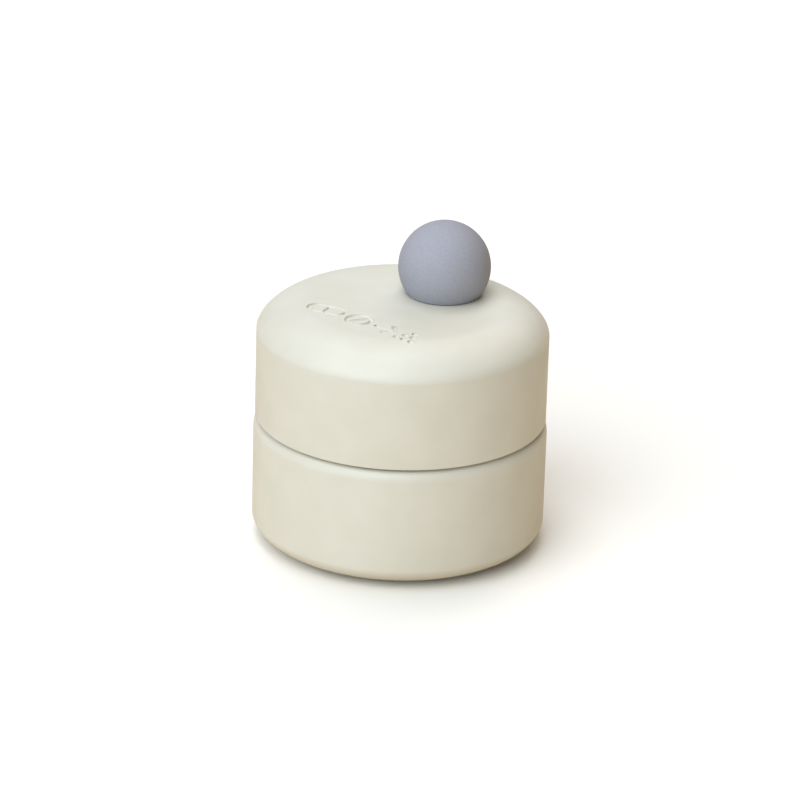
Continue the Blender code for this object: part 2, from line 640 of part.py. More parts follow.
def make_upper_burr():
    """The turning grinding plate, with its ridges facing down."""
    profile = [
        (0.0, UPPER_PLATE_TOP),
        (BURR_RADIUS, UPPER_PLATE_TOP),
        (BURR_RADIUS, UPPER_PLATE_BOTTOM),
        (0.0, UPPER_PLATE_BOTTOM),
    ]
    plate = turned("upper_burr", profile, STEEL)
    ridges = bars(
        "upper_ridges", RIDGE_COUNT, RIDGE_START, RIDGE_END, RIDGE_WIDTH,
        UPPER_PLATE_BOTTOM - RIDGE_HEIGHT, UPPER_PLATE_BOTTOM + BURR_PLATE / 2, -RIDGE_LEAD,
    )
    combine(plate, ridges, "UNION")
    places = around(SCREW_COUNT, UPPER_SCREW_CIRCLE)
    for helper in countersinks("upper_burr", places, UPPER_PLATE_BOTTOM, BURR_PLATE + FIT, opens_down=True):
        combine(plate, helper, "DIFFERENCE")
    for i, (x, y) in enumerate(places):
        countersunk_screw(
            f"upper_burr_screw_{i + 1}", (x, y, UPPER_PLATE_BOTTOM), BURR_SCREW_LENGTH, driven_from_below=True
        )


def make_stem_fasteners():
    """The washer and screw on top of the stem, which stop the head from dropping out of the lid."""
    turned(
        "stem_washer",
        tube_profile(STEM_SCREW_SHANK + FIT, WASHER_RADIUS, WASHER_BOTTOM, WASHER_BOTTOM + WASHER_THICKNESS),
        STEEL,
        sides=32,
    )
    dome = arc((0.0, STEM_SCREW_SEAT), STEM_SCREW_HEAD, STEM_SCREW_HEAD_HEIGHT, 90, 0, 4, 3.0)
    tip = STEM_SCREW_SEAT - STEM_SCREW_LENGTH
    profile = dome + [(STEM_SCREW_SHANK, STEM_SCREW_SEAT), (STEM_SCREW_SHANK, tip + MM / 2), (0.0, tip)]
    turned("stem_screw", profile, STEEL, sides=SMALL_ROUND)


def make_pressure_spring():
    """The coil that presses the head down. Its first and last turns lie flat against their seats."""
    bottom = CARRIER_TOP + FIT + SPRING_WIRE / 2
    top = TOWER_CEILING - FIT - SPRING_WIRE / 2
    steps_per_turn = 12
    total_turns = SPRING_TURNS + 2
    closed_rise = SPRING_WIRE * 1.05  # a closed turn climbs by little more than the wire
    pitch = (top - bottom - 2 * closed_rise) / SPRING_TURNS
    points = []
    for i in range(total_turns * steps_per_turn + 1):
        turn = i / steps_per_turn
        if turn < 1:
            height = bottom + closed_rise * turn
        elif turn < total_turns - 1:
            height = bottom + closed_rise + pitch * (turn - 1)
        else:
            height = top - closed_rise * (total_turns - turn)
        angle = 2 * math.pi * turn
        points.append((SPRING_RADIUS * math.cos(angle), SPRING_RADIUS * math.sin(angle), height))
    curve = bpy.data.curves.new("pressure_spring", "CURVE")
    curve.dimensions = "3D"
    curve.bevel_depth = SPRING_WIRE / 2
    curve.bevel_resolution = 1
    curve.use_fill_caps = True
    spline = curve.splines.new("POLY")
    spline.points.add(len(points) - 1)
    for point, place in zip(spline.points, points):
        point.co = (*place, 1.0)
    add_object("pressure_spring", curve, SPRING_STEEL)


# ---------------------------------------------------------------- ball grip
def make_knob():
    """The ball, the threaded insert in it, the shoulder pin it turns on, and the bush and washer."""
    at = (KNOB_X, KNOB_Y, 0.0)
    flat_edge = math.degrees(math.asin(BALL_FLAT_SHARE))
    recess = BUSH_FLANGE_RADIUS + FIT
    sphere = arc((0.0, BALL_CENTRE), BALL_RADIUS, BALL_RADIUS, 90, -flat_edge, 12)
    hole = [
        (recess, BALL_FLAT),
        (recess, BALL_RECESS_TOP),
        (INSERT_RADIUS + FIT, BALL_RECESS_TOP),
        (INSERT_RADIUS + FIT, INSERT_TOP + FIT),
        (0.0, INSERT_TOP + FIT),
    ]
    turned("knob_ball", sphere + hole, SLATE, at, sides=32)
    turned(
        "knob_insert", tube_profile(INSERT_BORE, INSERT_RADIUS, INSERT_BOTTOM, INSERT_TOP),
        BRASS, at, SMALL_ROUND,
    )
    pin = [
        (0.0, PIN_TOP),
        (PIN_THREAD_RADIUS, PIN_TOP),
        (PIN_THREAD_RADIUS, PIN_SHOULDER_TOP),
        (PIN_RADIUS, PIN_SHOULDER_TOP),
        (PIN_RADIUS, PIN_HEAD_TOP),
        (PIN_HEAD_RADIUS, PIN_HEAD_TOP),
        (PIN_HEAD_RADIUS, PIN_HEAD_BOTTOM),
        (0.0, PIN_HEAD_BOTTOM),
    ]
    turned("knob_pin", pin, STEEL, at, SMALL_ROUND)
    bush = [
        (BUSH_FLANGE_RADIUS, BUSH_TOP),
        (BUSH_FLANGE_RADIUS, BUSH_TOP - BUSH_FLANGE_THICKNESS),
        (BUSH_RADIUS, BUSH_TOP - BUSH_FLANGE_THICKNESS),
        (BUSH_RADIUS, KNOB_BOSS_BOTTOM),
        (BUSH_BORE, KNOB_BOSS_BOTTOM),
        (BUSH_BORE, BUSH_TOP),
    ]
    turned("knob_bush", bush, ACETAL, at, SMALL_ROUND)
    turned(
        "knob_washer", tube_profile(BUSH_BORE, BUSH_FLANGE_RADIUS, THRUST_WASHER_BOTTOM, THRUST_WASHER_TOP),
        ACETAL, at, SMALL_ROUND,
    )


# ---------------------------------------------------------------- finishing
def bake_modifiers_and_shade():
    """Turns every finished part into a plain mesh, shaded smooth except across its sharp edges."""
    bpy.context.view_layer.update()
    graph = bpy.context.evaluated_depsgraph_get()
    for obj in list(PARTS.objects):
        if obj.type != "MESH":
            continue
        mesh = bpy.data.meshes.new_from_object(obj.evaluated_get(graph))
        obj.modifiers.clear()
        obj.data = mesh
        mesh.shade_smooth()
        mesh.set_sharp_from_angle(angle=math.radians(30))


def main():
    make_base_shell()
    make_foot_pad()
    make_powder_cup()
    make_chamber_body()
    make_lower_burr()
    make_glide_ring()
    make_plug_seal()
    make_lid_shell()
    make_lid_liner()
    make_head_carrier()
    make_upper_burr()
    make_stem_fasteners()
    make_pressure_spring()
    make_knob()
    bake_modifiers_and_shade()


main()
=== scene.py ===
"""Looks of a rotary pill crusher: two satin cream halves, one turning on the other by a ball grip.

Every moulded or turned piece is drawn as half of its section and spun about its upright axis. Sizes
are in millimetres and are the working drawing's; where a piece meets its neighbours they come from
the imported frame. Everything is built where it stands with the crusher closed.
"""

import math

import bpy
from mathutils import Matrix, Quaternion, Vector


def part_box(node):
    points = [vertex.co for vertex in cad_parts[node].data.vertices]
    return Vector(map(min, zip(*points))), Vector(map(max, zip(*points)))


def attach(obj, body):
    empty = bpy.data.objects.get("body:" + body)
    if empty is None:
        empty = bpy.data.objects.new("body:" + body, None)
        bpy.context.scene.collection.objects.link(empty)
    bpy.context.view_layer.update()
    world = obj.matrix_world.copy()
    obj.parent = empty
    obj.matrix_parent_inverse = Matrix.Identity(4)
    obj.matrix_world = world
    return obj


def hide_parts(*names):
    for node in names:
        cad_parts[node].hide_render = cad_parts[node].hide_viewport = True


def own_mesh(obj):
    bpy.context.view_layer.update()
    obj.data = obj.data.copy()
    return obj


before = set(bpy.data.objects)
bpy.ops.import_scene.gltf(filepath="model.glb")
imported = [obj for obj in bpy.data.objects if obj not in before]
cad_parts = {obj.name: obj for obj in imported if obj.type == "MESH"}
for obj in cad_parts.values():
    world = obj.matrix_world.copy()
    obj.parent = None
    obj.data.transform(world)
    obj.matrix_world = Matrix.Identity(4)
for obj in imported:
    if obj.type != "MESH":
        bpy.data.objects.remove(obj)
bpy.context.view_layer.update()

MM = 0.001
STAGE_HEIGHT = -0.0002  # the floor lies a hair under the foot pad


# ------------------------------------------------------------------ drawing and shaping
def deselect():
    """Selects nothing."""
    bpy.ops.object.select_all(action="DESELECT")


def make_active(piece):
    """Selects one piece and nothing else."""
    deselect()
    piece.select_set(True)
    bpy.context.view_layer.objects.active = piece


def edit(piece):
    """Opens one piece's mesh for editing."""
    make_active(piece)
    bpy.ops.object.mode_set(mode="EDIT")


def leave_edit():
    bpy.ops.object.mode_set(mode="OBJECT")


def pick(piece, kind, wanted):
    """Opens a piece for editing with only the wanted vertices or faces selected."""
    edit(piece)
    bpy.ops.mesh.select_mode(type=kind)
    bpy.ops.mesh.select_all(action="DESELECT")
    leave_edit()
    for part in piece.data.vertices if kind == "VERT" else piece.data.polygons:
        part.select = wanted(part)
    edit(piece)


def settle(piece, name):
    """Names a new primitive, and leaves its place and size in its mesh."""
    piece.name = name
    bpy.ops.object.transform_apply(location=True, rotation=True, scale=True)
    return piece


def draw_line(name, points, closed=False):
    """A thin line through points in millimetres, drawn by extruding one vertex from each to the next."""
    deselect()
    bpy.ops.mesh.primitive_plane_add(size=1.0 * MM)
    line = bpy.context.object
    line.name = name
    bpy.ops.object.mode_set(mode="EDIT")
    bpy.ops.mesh.select_all(action="SELECT")
    bpy.ops.mesh.merge(type="CENTER")
    places = [Vector(point) * MM for point in points]
    if closed:
        places.append(places[0])
    bpy.ops.transform.translate(value=places[0])
    for here, there in zip(places, places[1:]):
        bpy.ops.mesh.extrude_region_move(TRANSFORM_OT_translate={"value": there - here})
    if closed:
        bpy.ops.mesh.select_all(action="SELECT")
        bpy.ops.mesh.remove_doubles(threshold=0.0005 * MM)
    leave_edit()
    return line


def rounded(corners, steps=5, closed=False):
    """Draws an outline from corners of (radius, height) or (radius, height, rounding)."""
    outline = []
    count = len(corners)
    for i, corner in enumerate(corners):
        here = Vector(corner[:2])
        size = corner[2] if len(corner) > 2 else 0.0
        if size == 0.0 or (not closed and i in (0, count - 1)):
            outline.append(tuple(here))
            continue
        back = Vector(corners[i - 1][:2]) - here
        ahead = Vector(corners[(i + 1) % count][:2]) - here
        half_angle = back.angle(ahead) / 2
        reach = size / math.tan(half_angle)
        inwards = (back.normalized() + ahead.normalized()).normalized()
        middle = here + inwards * size / math.sin(half_angle)
        start = here + back.normalized() * reach - middle
        end = here + ahead.normalized() * reach - middle
        whole = start.angle_signed(end)
        for step in range(steps + 1):
            angle = -whole * step / steps
            c, s = math.cos(angle), math.sin(angle)
            outline.append((middle.x + start.x * c - start.y * s, middle.y + start.x * s + start.y * c))
    return outline


def swept_edge(centre, reach, rise, first, last, steps, fullness=2.0):
    """Part of an oval round a centre. A fullness of 2 gives an ellipse, and less gives a flatter curve."""
    points = []
    for step in range(steps + 1):
        angle = math.radians(first + (last - first) * step / steps)
        across, up = math.cos(angle), math.sin(angle)
        points.append(
            (
                centre[0] + reach * math.copysign(abs(across) ** (2 / fullness), across),
                centre[1] + rise * math.copysign(abs(up) ** (2 / fullness), up),
            )
        )
    return points


def spin(name, outline, steps=144, at=(0.0, 0.0), closed=False):
    """Spins an outline of (radius, height) about the upright axis at a place, and tidies the result."""
    piece = draw_line(name, [(at[0] + radius, at[1], height) for radius, height in outline], closed)
    edit(piece)
    bpy.ops.mesh.select_all(action="SELECT")
    bpy.ops.mesh.spin(
        steps=steps, angle=math.tau, center=(at[0] * MM, at[1] * MM, 0.0), axis=(0.0, 0.0, 1.0)
    )
    bpy.ops.mesh.select_all(action="SELECT")
    bpy.ops.mesh.remove_doubles(threshold=0.002 * MM)
    bpy.ops.mesh.normals_make_consistent(inside=False)
    leave_edit()
    return piece


def round_edges(piece, rounding, segments):
    """Rounds every edge of a piece."""
    edit(piece)
    bpy.ops.mesh.select_all(action="SELECT")
    bpy.ops.mesh.bevel(offset=rounding * MM, segments=segments, affect="EDGES")
    leave_edit()


def block(name, size, centre, rounding, segments=4):
    """A block with all its edges rounded."""
    deselect()
    bpy.ops.mesh.primitive_cube_add(size=1.0, location=Vector(centre) * MM, scale=Vector(size) * MM)
    piece = settle(bpy.context.object, name)
    round_edges(piece, rounding, segments)
    return piece


def post(name, radius, bottom, top, at=(0.0, 0.0), sides=48):
    """An upright cylinder with its ends at two heights."""
    deselect()
    bpy.ops.mesh.primitive_cylinder_add(
        vertices=sides,
        radius=radius * MM,
        depth=(top - bottom) * MM,
        location=(at[0] * MM, at[1] * MM, (bottom + top) / 2 * MM),
    )
    return settle(bpy.context.object, name)


def hexagon(name, across_flats, bottom, top):
    """An upright six-sided bar on the axis."""
    return post(name, across_flats / math.sqrt(3), bottom, top, sides=6)


def turn(piece, angle):
    """Turns a piece's mesh about the crusher's upright axis."""
    edit(piece)
    bpy.ops.mesh.select_all(action="SELECT")
    # With no window this operator turns the other way, so the angle is given with its sign changed.
    bpy.ops.transform.rotate(value=-angle, orient_axis="Z", center_override=(0.0, 0.0, 0.0))
    leave_edit()


def copy_piece(piece, name):
    """A copy with its own mesh."""
    make_active(piece)
    bpy.ops.object.duplicate(linked=False)
    copy = bpy.context.object
    copy.name = name
    return copy


def join(pieces):
    """Makes one object of several pieces."""
    deselect()
    for piece in pieces:
        piece.select_set(True)
    bpy.context.view_layer.objects.active = pieces[0]
    bpy.ops.object.join()
    return pieces[0]


def turned_copies(piece, count, start=0.0):
    """Copies a piece into evenly spaced places round the upright axis, as one object."""
    if start:
        turn(piece, start)
    copies = [piece]
    for i in range(1, count):
        copies.append(copy_piece(piece, piece.name))
        turn(copies[-1], math.tau * i / count)
    return join(copies)


def combine(piece, tool, operation):
    """Cuts a tool out of a piece, or joins it on, and throws the tool away."""
    make_active(piece)
    bpy.ops.object.modifier_add(type="BOOLEAN")
    step = piece.modifiers[-1]
    step.operation = operation
    step.solver = "EXACT"
    step.object = tool
    bpy.ops.object.modifier_apply(modifier=step.name)
    bpy.data.objects.remove(tool, do_unlink=True)


def cut(piece, *tools):
    """Cuts each tool out of a piece."""
    for tool in tools:
        combine(piece, tool, "DIFFERENCE")


def add_on(piece, *tools):
    """Joins each tool to a piece as one solid."""
    for tool in tools:
        combine(piece, tool, "UNION")


def place_at(radius, angle):
    """The place on a circle round the upright axis, in millimetres."""
    return (radius * math.cos(angle), radius * math.sin(angle))


def clean_mesh(piece):
    """Merges what the cuts left doubled, drops faces with no area, and turns every face outwards."""
    edit(piece)
    bpy.ops.mesh.select_mode(type="VERT")
    bpy.ops.mesh.select_all(action="SELECT")
    bpy.ops.mesh.remove_doubles(threshold=0.001 * MM)
    bpy.ops.mesh.dissolve_degenerate(threshold=0.001 * MM)
    bpy.ops.mesh.select_all(action="SELECT")
    bpy.ops.mesh.delete_loose()
    bpy.ops.mesh.select_all(action="SELECT")
    bpy.ops.mesh.normals_make_consistent(inside=False)
    leave_edit()


def finish_piece(piece, material, body, nodes, sharp_from=32.0):
    """Shades a piece, gives it its material, and hands it to the frame in the place of its CAD nodes."""
    clean_mesh(piece)
    make_active(piece)
    bpy.ops.object.shade_smooth_by_angle(angle=math.radians(sharp_from))
    piece.data.materials.clear()
    piece.data.materials.append(material)
    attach(piece, body)
    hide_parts(*nodes)
    return piece


# ------------------------------------------------------------------ materials
# A Mix node has several sockets of each name, so its colour ones are known by number.
MIX_FACTOR, MIX_A, MIX_B, MIX_RESULT = 0, 6, 7, 2


def srgb(hex_colour):
    """A colour written as sRGB hex, as the linear value that shaders work with."""
    values = [int(hex_colour[i : i + 2], 16) / 255 for i in (1, 3, 5)]
    linear = [v / 12.92 if v <= 0.04045 else ((v + 0.055) / 1.055) ** 2.4 for v in values]
    return (*linear, 1.0)


def add_node(owner, kind, settings=None, links=None):
    """Adds a node to a material or the world. settings are its properties and the values of its inputs, and
    links are what feeds its inputs."""
    node = owner.node_tree.nodes.new(kind)
    for key, value in (settings or {}).items():
        if isinstance(key, str) and hasattr(node, key) and key not in node.inputs:
            setattr(node, key, value)
        else:
            node.inputs[key].default_value = value
    for key, source in (links or {}).items():
        owner.node_tree.links.new(source, node.inputs[key])
    return node


def new_finish(name, **values):
    """A material with a Principled shader, whose plain values are set on its own sockets."""
    material = bpy.data.materials.new(name)
    material.use_nodes = True
    shader = material.node_tree.nodes["Principled BSDF"]
    for socket, value in values.items():
        shader.inputs[socket.replace("_", " ")].default_value = value
    return material, shader


def per_mm(size):
    """The Noise scale whose features are about this many millimetres across."""
    return 1.0 / (size * MM)


def two_tone(material, place, size, first, second, detail=2.0, low=0.35, high=0.65):
    """A colour that drifts between two tones in patches of a given size in millimetres."""
    noise = add_node(
        material, "ShaderNodeTexNoise", {"Scale": per_mm(size), "Detail": detail, "Roughness": 0.55},
        {"Vector": place},
    )
    spread = add_node(
        material, "ShaderNodeMapRange", {"From Min": low, "From Max": high},
        {"Value": noise.outputs["Fac"]},
    )
    mix = add_node(
        material, "ShaderNodeMix", {"data_type": "RGBA", MIX_A: srgb(first), MIX_B: srgb(second)},
        {MIX_FACTOR: spread.outputs["Result"]},
    )
    return mix.outputs[MIX_RESULT], noise.outputs["Fac"]


def moulded(name, first, second, roughness, grain, relief, **values):
    """Moulded plastic or rubber: colour that drifts a little, a fine spark-eroded grain, uneven gloss."""
    material, shader = new_finish(name, **values)
    links = material.node_tree.links
    place = add_node(material, "ShaderNodeTexCoord").outputs["Object"]
    colour, drift = two_tone(material, place, 9.0, first, second)
    links.new(colour, shader.inputs["Base Color"])
    gloss = add_node(
        material, "ShaderNodeMapRange",
        {"From Min": 0.3, "From Max": 0.7, "To Min": roughness - 0.04, "To Max": roughness + 0.04},
        {"Value": drift},
    )
    links.new(gloss.outputs["Result"], shader.inputs["Roughness"])
    texture = add_node(
        material, "ShaderNodeTexNoise", {"Scale": per_mm(grain), "Detail": 3.0, "Roughness": 0.6},
        {"Vector": place},
    )
    bump = add_node(
        material, "ShaderNodeBump", {"Strength": 0.6, "Distance": relief * MM},
        {"Height": texture.outputs["Fac"]},
    )
    links.new(bump.outputs["Normal"], shader.inputs["Normal"])
    return material


# ------------------------------------------------------------------ finishes
# Moulded ABS with a satin spark-eroded face: a warm cream that reads soft, with a broad dull highlight.
cream_abs = moulded(
    "moulded_satin_abs_cream", "#D4CFBD", "#D1CCB9", 0.46, 0.35, 0.010, IOR=1.53, Specular_IOR_Level=0.55
)

# Moulded polypropylene: a cool white, a little waxy, with a tighter highlight than the cream shells.
white_pp = moulded("moulded_polypropylene_white", "#E6E6E1", "#E0E0DB", 0.42, 0.5, 0.008, IOR=1.49)

# Natural acetal: waxy and slightly see-through at its edges, with hardly any grain.
acetal = moulded(
    "machined_acetal_natural", "#ECEAE3", "#E6E4DC", 0.34, 0.3, 0.004,
    IOR=1.48, Subsurface_Weight=0.12, Subsurface_Scale=0.6 * MM,
)

# Silicone rubber: no shine to speak of, with the powdery look of a moulded seal.
silicone = moulded("moulded_silicone_grey", "#5C5F66", "#54575E", 0.72, 0.4, 0.012, IOR=1.41)


def soft_touch():
    """Soft-touch lacquer over a moulded ball: dull slate grey with a fine speckle, and no hard highlight."""
    material, shader = new_finish("soft_touch_lacquer_slate", IOR=1.45, Specular_IOR_Level=0.3)
    links = material.node_tree.links
    place = add_node(material, "ShaderNodeTexCoord").outputs["Object"]
    # Lacquer speckle is about 0.1 mm; it is drawn at 0.45 mm, so that it can be seen at all.
    colour, speckle = two_tone(material, place, 0.45, "#98979C", "#9F9EA4", detail=3.0)
    links.new(colour, shader.inputs["Base Color"])
    gloss = add_node(
        material, "ShaderNodeMapRange", {"To Min": 0.66, "To Max": 0.78}, {"Value": speckle}
    )
    links.new(gloss.outputs["Result"], shader.inputs["Roughness"])
    bump = add_node(
        material, "ShaderNodeBump", {"Strength": 0.7, "Distance": 0.02 * MM}, {"Height": speckle}
    )
    links.new(bump.outputs["Normal"], shader.inputs["Normal"])
    return material


def frosted():
    """Frosted polypropylene: milky, lets light through, and blurs what is behind it."""
    material, shader = new_finish("moulded_polypropylene_frosted", IOR=1.49, Transmission_Weight=0.55)
    links = material.node_tree.links
    place = add_node(material, "ShaderNodeTexCoord").outputs["Object"]
    colour, drift = two_tone(material, place, 5.0, "#E8EDEE", "#DDE4E6")
    links.new(colour, shader.inputs["Base Color"])
    gloss = add_node(
        material, "ShaderNodeMapRange", {"To Min": 0.38, "To Max": 0.5}, {"Value": drift}
    )
    links.new(gloss.outputs["Result"], shader.inputs["Roughness"])
    frost = add_node(
        material, "ShaderNodeTexNoise", {"Scale": per_mm(0.3), "Detail": 3.0}, {"Vector": place}
    )
    bump = add_node(
        material, "ShaderNodeBump", {"Strength": 0.4, "Distance": 0.01 * MM},
        {"Height": frost.outputs["Fac"]},
    )
    links.new(bump.outputs["Normal"], shader.inputs["Normal"])
    return material


def metal(name, first, second, roughness, line_stretch, line_size, relief):
    """A worked metal: fine lines stretched along the way it was cut, which break up the shine."""
    material, shader = new_finish(name, Metallic=1.0)
    links = material.node_tree.links
    place = add_node(material, "ShaderNodeTexCoord").outputs["Object"]
    stretched = add_node(material, "ShaderNodeMapping", {"Scale": line_stretch}, {"Vector": place})
    colour, lines = two_tone(
        material, stretched.outputs["Vector"], line_size, first, second, detail=4.0, low=0.3, high=0.7
    )
    links.new(colour, shader.inputs["Base Color"])
    gloss = add_node(
        material, "ShaderNodeMapRange", {"To Min": roughness - 0.07, "To Max": roughness + 0.09},
        {"Value": lines},
    )
    links.new(gloss.outputs["Result"], shader.inputs["Roughness"])
    bump = add_node(
        material, "ShaderNodeBump", {"Strength": 0.5, "Distance": relief * MM}, {"Height": lines}
    )
    links.new(bump.outputs["Normal"], shader.inputs["Normal"])
    return material


slate_soft_touch = soft_touch()
frosted_pp = frosted()
# Stainless plate, ground flat: grey, with straight hair lines that smear the highlight across them.
ground_steel = metal("ground_stainless_steel", "#C9C9C6", "#B9B9B6", 0.3, (0.08, 1.0, 1.0), 0.35, 0.006)
# Stainless screws, cold headed and tumbled: brighter and smoother than the plates.
screw_steel = metal("tumbled_stainless_screws", "#D2D2D0", "#C4C4C2", 0.24, (1.0, 1.0, 1.0), 0.4, 0.004)
# Drawn spring wire: darker, with faint die lines.
spring_wire = metal("drawn_spring_wire", "#A9AAAA", "#989999", 0.32, (1.0, 1.0, 0.3), 0.5, 0.004)
# Turned brass: warm yellow, with fine tool rings round it.
turned_brass = metal("turned_brass", "#D8B36A", "#C9A45C", 0.26, (0.2, 0.2, 1.0), 0.3, 0.005)


# ------------------------------------------------------------------ sizes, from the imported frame
def top_of(node):
    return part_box(node)[1].z / MM


def bottom_of(node):
    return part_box(node)[0].z / MM


def radius_of(node):
    """Half the width of a node that is round about the upright axis."""
    low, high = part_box(node)
    return (high.x - low.x) / 2 / MM


BASE_RADIUS = radius_of("base_shell")
BASE_TOP = top_of("base_shell")
BASE_BOTTOM = bottom_of("base_shell")
LID_RADIUS = radius_of("lid_shell")
LID_TOP = top_of("lid_shell")
LID_BOTTOM = bottom_of("lid_shell")
ball_low, ball_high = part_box("knob_ball")
KNOB = ((ball_low.x + ball_high.x) / 2 / MM, (ball_low.y + ball_high.y) / 2 / MM)
BALL_FLAT = ball_low.z / MM
BALL_TOP = ball_high.z / MM
BALL_RADIUS = 11.0

LOWER_FACE = 20.7  # the flat between the lower plate's ridges
UPPER_FACE = 23.4  # the flat between the upper plate's ridges
LINER_FACE = 37.8  # the underside of the lid's liner
RIDGE_COUNT, RIDGE_HEIGHT = 12, 1.2
RIDGE_LEAD = 3.0  # how far a ridge's line passes from the axis
HEX_ACROSS, HEX_PLAY = 12.0, 0.6
SCREW_LENGTH, LINER_SCREW_LENGTH = 3.6, 10.0
# Each set of three screws stands on a circle, from a first angle.
LOWER_SCREWS = (25.15, math.pi / 3)
UPPER_SCREWS = (22.95, 0.0)
LINER_SCREWS = (24.85, math.pi / 2)


# ------------------------------------------------------------------ lower half
def build_base():
    """The lower shell: a well for the cup, a ledge with three keys for the mill, a seat for the pad."""
    floor_top, well, bore, ledge = 2.8, 31.0, 32.6, 24.0
    seat_top, seat_outer, seat_inner = 1.9, 24.3, 15.7
    edge_reach, edge_rise = 9.4, 5.2
    shoulder_reach, shoulder_rise = 2.2, 2.8
    shoulder_centre = (BASE_RADIUS - shoulder_reach, BASE_TOP - shoulder_rise)
    shoulder = swept_edge(shoulder_centre, shoulder_reach, shoulder_rise, 90.0, 0.0, 14)
    edge_centre = (BASE_RADIUS - edge_reach, BASE_BOTTOM + edge_rise)
    edge = swept_edge(edge_centre, edge_reach, edge_rise, 0.0, -90.0, 26)
    outline = rounded(
        [
            (0.0, floor_top),
            (well, floor_top, 3.0),
            (well, ledge, 0.3),
            (bore, ledge, 0.15),
            (bore, BASE_TOP, 0.1),
        ]
        + shoulder
        + edge
        + [
            (seat_outer, BASE_BOTTOM, 0.2),
            (seat_outer, seat_top, 0.2),
            (seat_inner, seat_top, 0.2),
            (seat_inner, BASE_BOTTOM, 0.2),
            (0.0, BASE_BOTTOM),
        ],
        steps=7,
    )
    base = spin("base_shell_moulded", outline, steps=192)
    key_depth, key_width, key_bottom, key_top = 2.4, 4.0, ledge - 1.3, ledge + 3.0
    key = block(
        "base_key", (key_depth, key_width, key_top - key_bottom), (bore, 0.0, (key_bottom + key_top) / 2),
        rounding=0.35,
    )
    add_on(base, turned_copies(key, 3))
    return finish_piece(base, cream_abs, "base", ["base_shell"])


def build_foot_pad():
    """A soft ring with two grooves, so that it grips."""
    outer, inner, top, groove_top = 24.0, 16.0, 1.6, 0.5
    outline = rounded(
        [
            (outer, top, 0.15), (outer, 0.0, 0.3), (22.0, 0.0, 0.15), (22.0, groove_top, 0.2),
            (21.2, groove_top, 0.2), (21.2, 0.0, 0.15), (18.8, 0.0, 0.15), (18.8, groove_top, 0.2),
            (18.0, groove_top, 0.2), (18.0, 0.0, 0.15), (inner, 0.0, 0.3), (inner, top, 0.15),
        ],
        steps=3, closed=True,
    )
    pad = spin("foot_pad_moulded", outline, steps=128, closed=True)
    return finish_piece(pad, silicone, "base", ["foot_pad"])


def build_cup():
    """The powder cup: a rolled rim, a raised foot ring, and two raised level lines inside."""
    outer, bottom, top, wall = radius_of("powder_cup"), bottom_of("powder_cup"), top_of("powder_cup"), 1.5
    inner = outer - wall

    def level(height):
        return [(inner, height - 0.35, 0.1), (inner - 0.25, height, 0.12), (inner, height + 0.35, 0.1)]

    outline = rounded(
        [(0.0, bottom + wall), (inner, bottom + wall, 3.0)]
        + level(bottom + 6.0)
        + level(bottom + 9.5)
        + [
            (inner, top, 0.7),
            (outer, top, 0.7),
            (outer, bottom, 4.5),
            (22.0, bottom, 0.2),
            (21.6, bottom + 0.4, 0.2),
            (0.0, bottom + 0.4),
        ],
        steps=8,
    )
    cup = spin("powder_cup_moulded", outline, steps=160)
    return finish_piece(cup, frosted_pp, "cup", ["powder_cup"])


# ------------------------------------------------------------------ the mill
def countersink(circle, start, face, opens_down=False):
    """Tools that cut the seats and the holes of three flat-headed screws."""
    way = -1.0 if opens_down else 1.0
    place = place_at(circle, start)
    above, below, mouth, hole_radius = face + 0.6 * way, face - 1.5 * way, 2.9, 1.25
    seat = spin(
        "seat", [(0.0, above), (mouth, above), (hole_radius, below), (0.0, below)], steps=32, at=place
    )
    bottom, top = sorted((face - 5.0 * way, face - 1.0 * way))
    hole = post("hole", hole_radius, bottom, top, at=place, sides=24)
    return turned_copies(seat, 3), turned_copies(hole, 3)


def build_housing():
    """The mill's housing: a flanged ring that stands on the base's ledge and is keyed against turning."""
    top, bottom = top_of("chamber_body"), bottom_of("chamber_body")
    collar, flange, flange_top, flange_bottom, lower = 30.85, 32.3, 30.1, 24.3, 30.7
    bore, floor_top, outlet = 28.65, 18.4, 22.15
    outline = rounded(
        [
            (collar, top, 0.4), (collar, flange_top, 0.3), (flange, flange_top, 0.4),
            (flange, flange_bottom, 0.3), (lower, flange_bottom, 0.2), (lower, bottom, 0.6),
            (outlet, bottom, 0.4), (outlet, floor_top, 0.3), (bore, floor_top, 0.2), (bore, top, 0.5),
        ],
        steps=5, closed=True,
    )
    housing = spin("mill_housing_moulded", outline, steps=160, closed=True)
    key_way = block("key_way", (4.6, 4.6, 7.0), (flange + 0.8, 0.0, 27.2), rounding=0.4)
    notch = block("notch", (4.0, 4.6, 2.4), (30.0, 0.0, top - 0.3), rounding=0.3)
    cut(housing, turned_copies(key_way, 3), turned_copies(notch, 3))
    hole = post("hole", 1.3, bottom - 1.0, floor_top + 1.0, at=place_at(*LOWER_SCREWS), sides=24)
    cut(housing, turned_copies(hole, 3))
    return finish_piece(housing, white_pp, "chamber", ["chamber_body"])


def ridges(name, face, way, lead):
    """Grinding ridges with worn tops, each set to one side of the plate's middle."""
    inner_end, outer_end, width, root = 4.5, 20.35, 1.5, 0.8
    ridge = block(
        name,
        (outer_end - inner_end, width, RIDGE_HEIGHT + root),
        ((inner_end + outer_end) / 2, lead, face + way * (RIDGE_HEIGHT - root) / 2),
        rounding=0.22, segments=3,
    )
    return turned_copies(ridge, RIDGE_COUNT)


def plate_outline(radius, top, bottom):
    """Half the section of a plain round plate."""
    edge = 0.25
    return rounded([(0.0, top), (radius, top, edge), (radius, bottom, edge), (0.0, bottom)], steps=4)


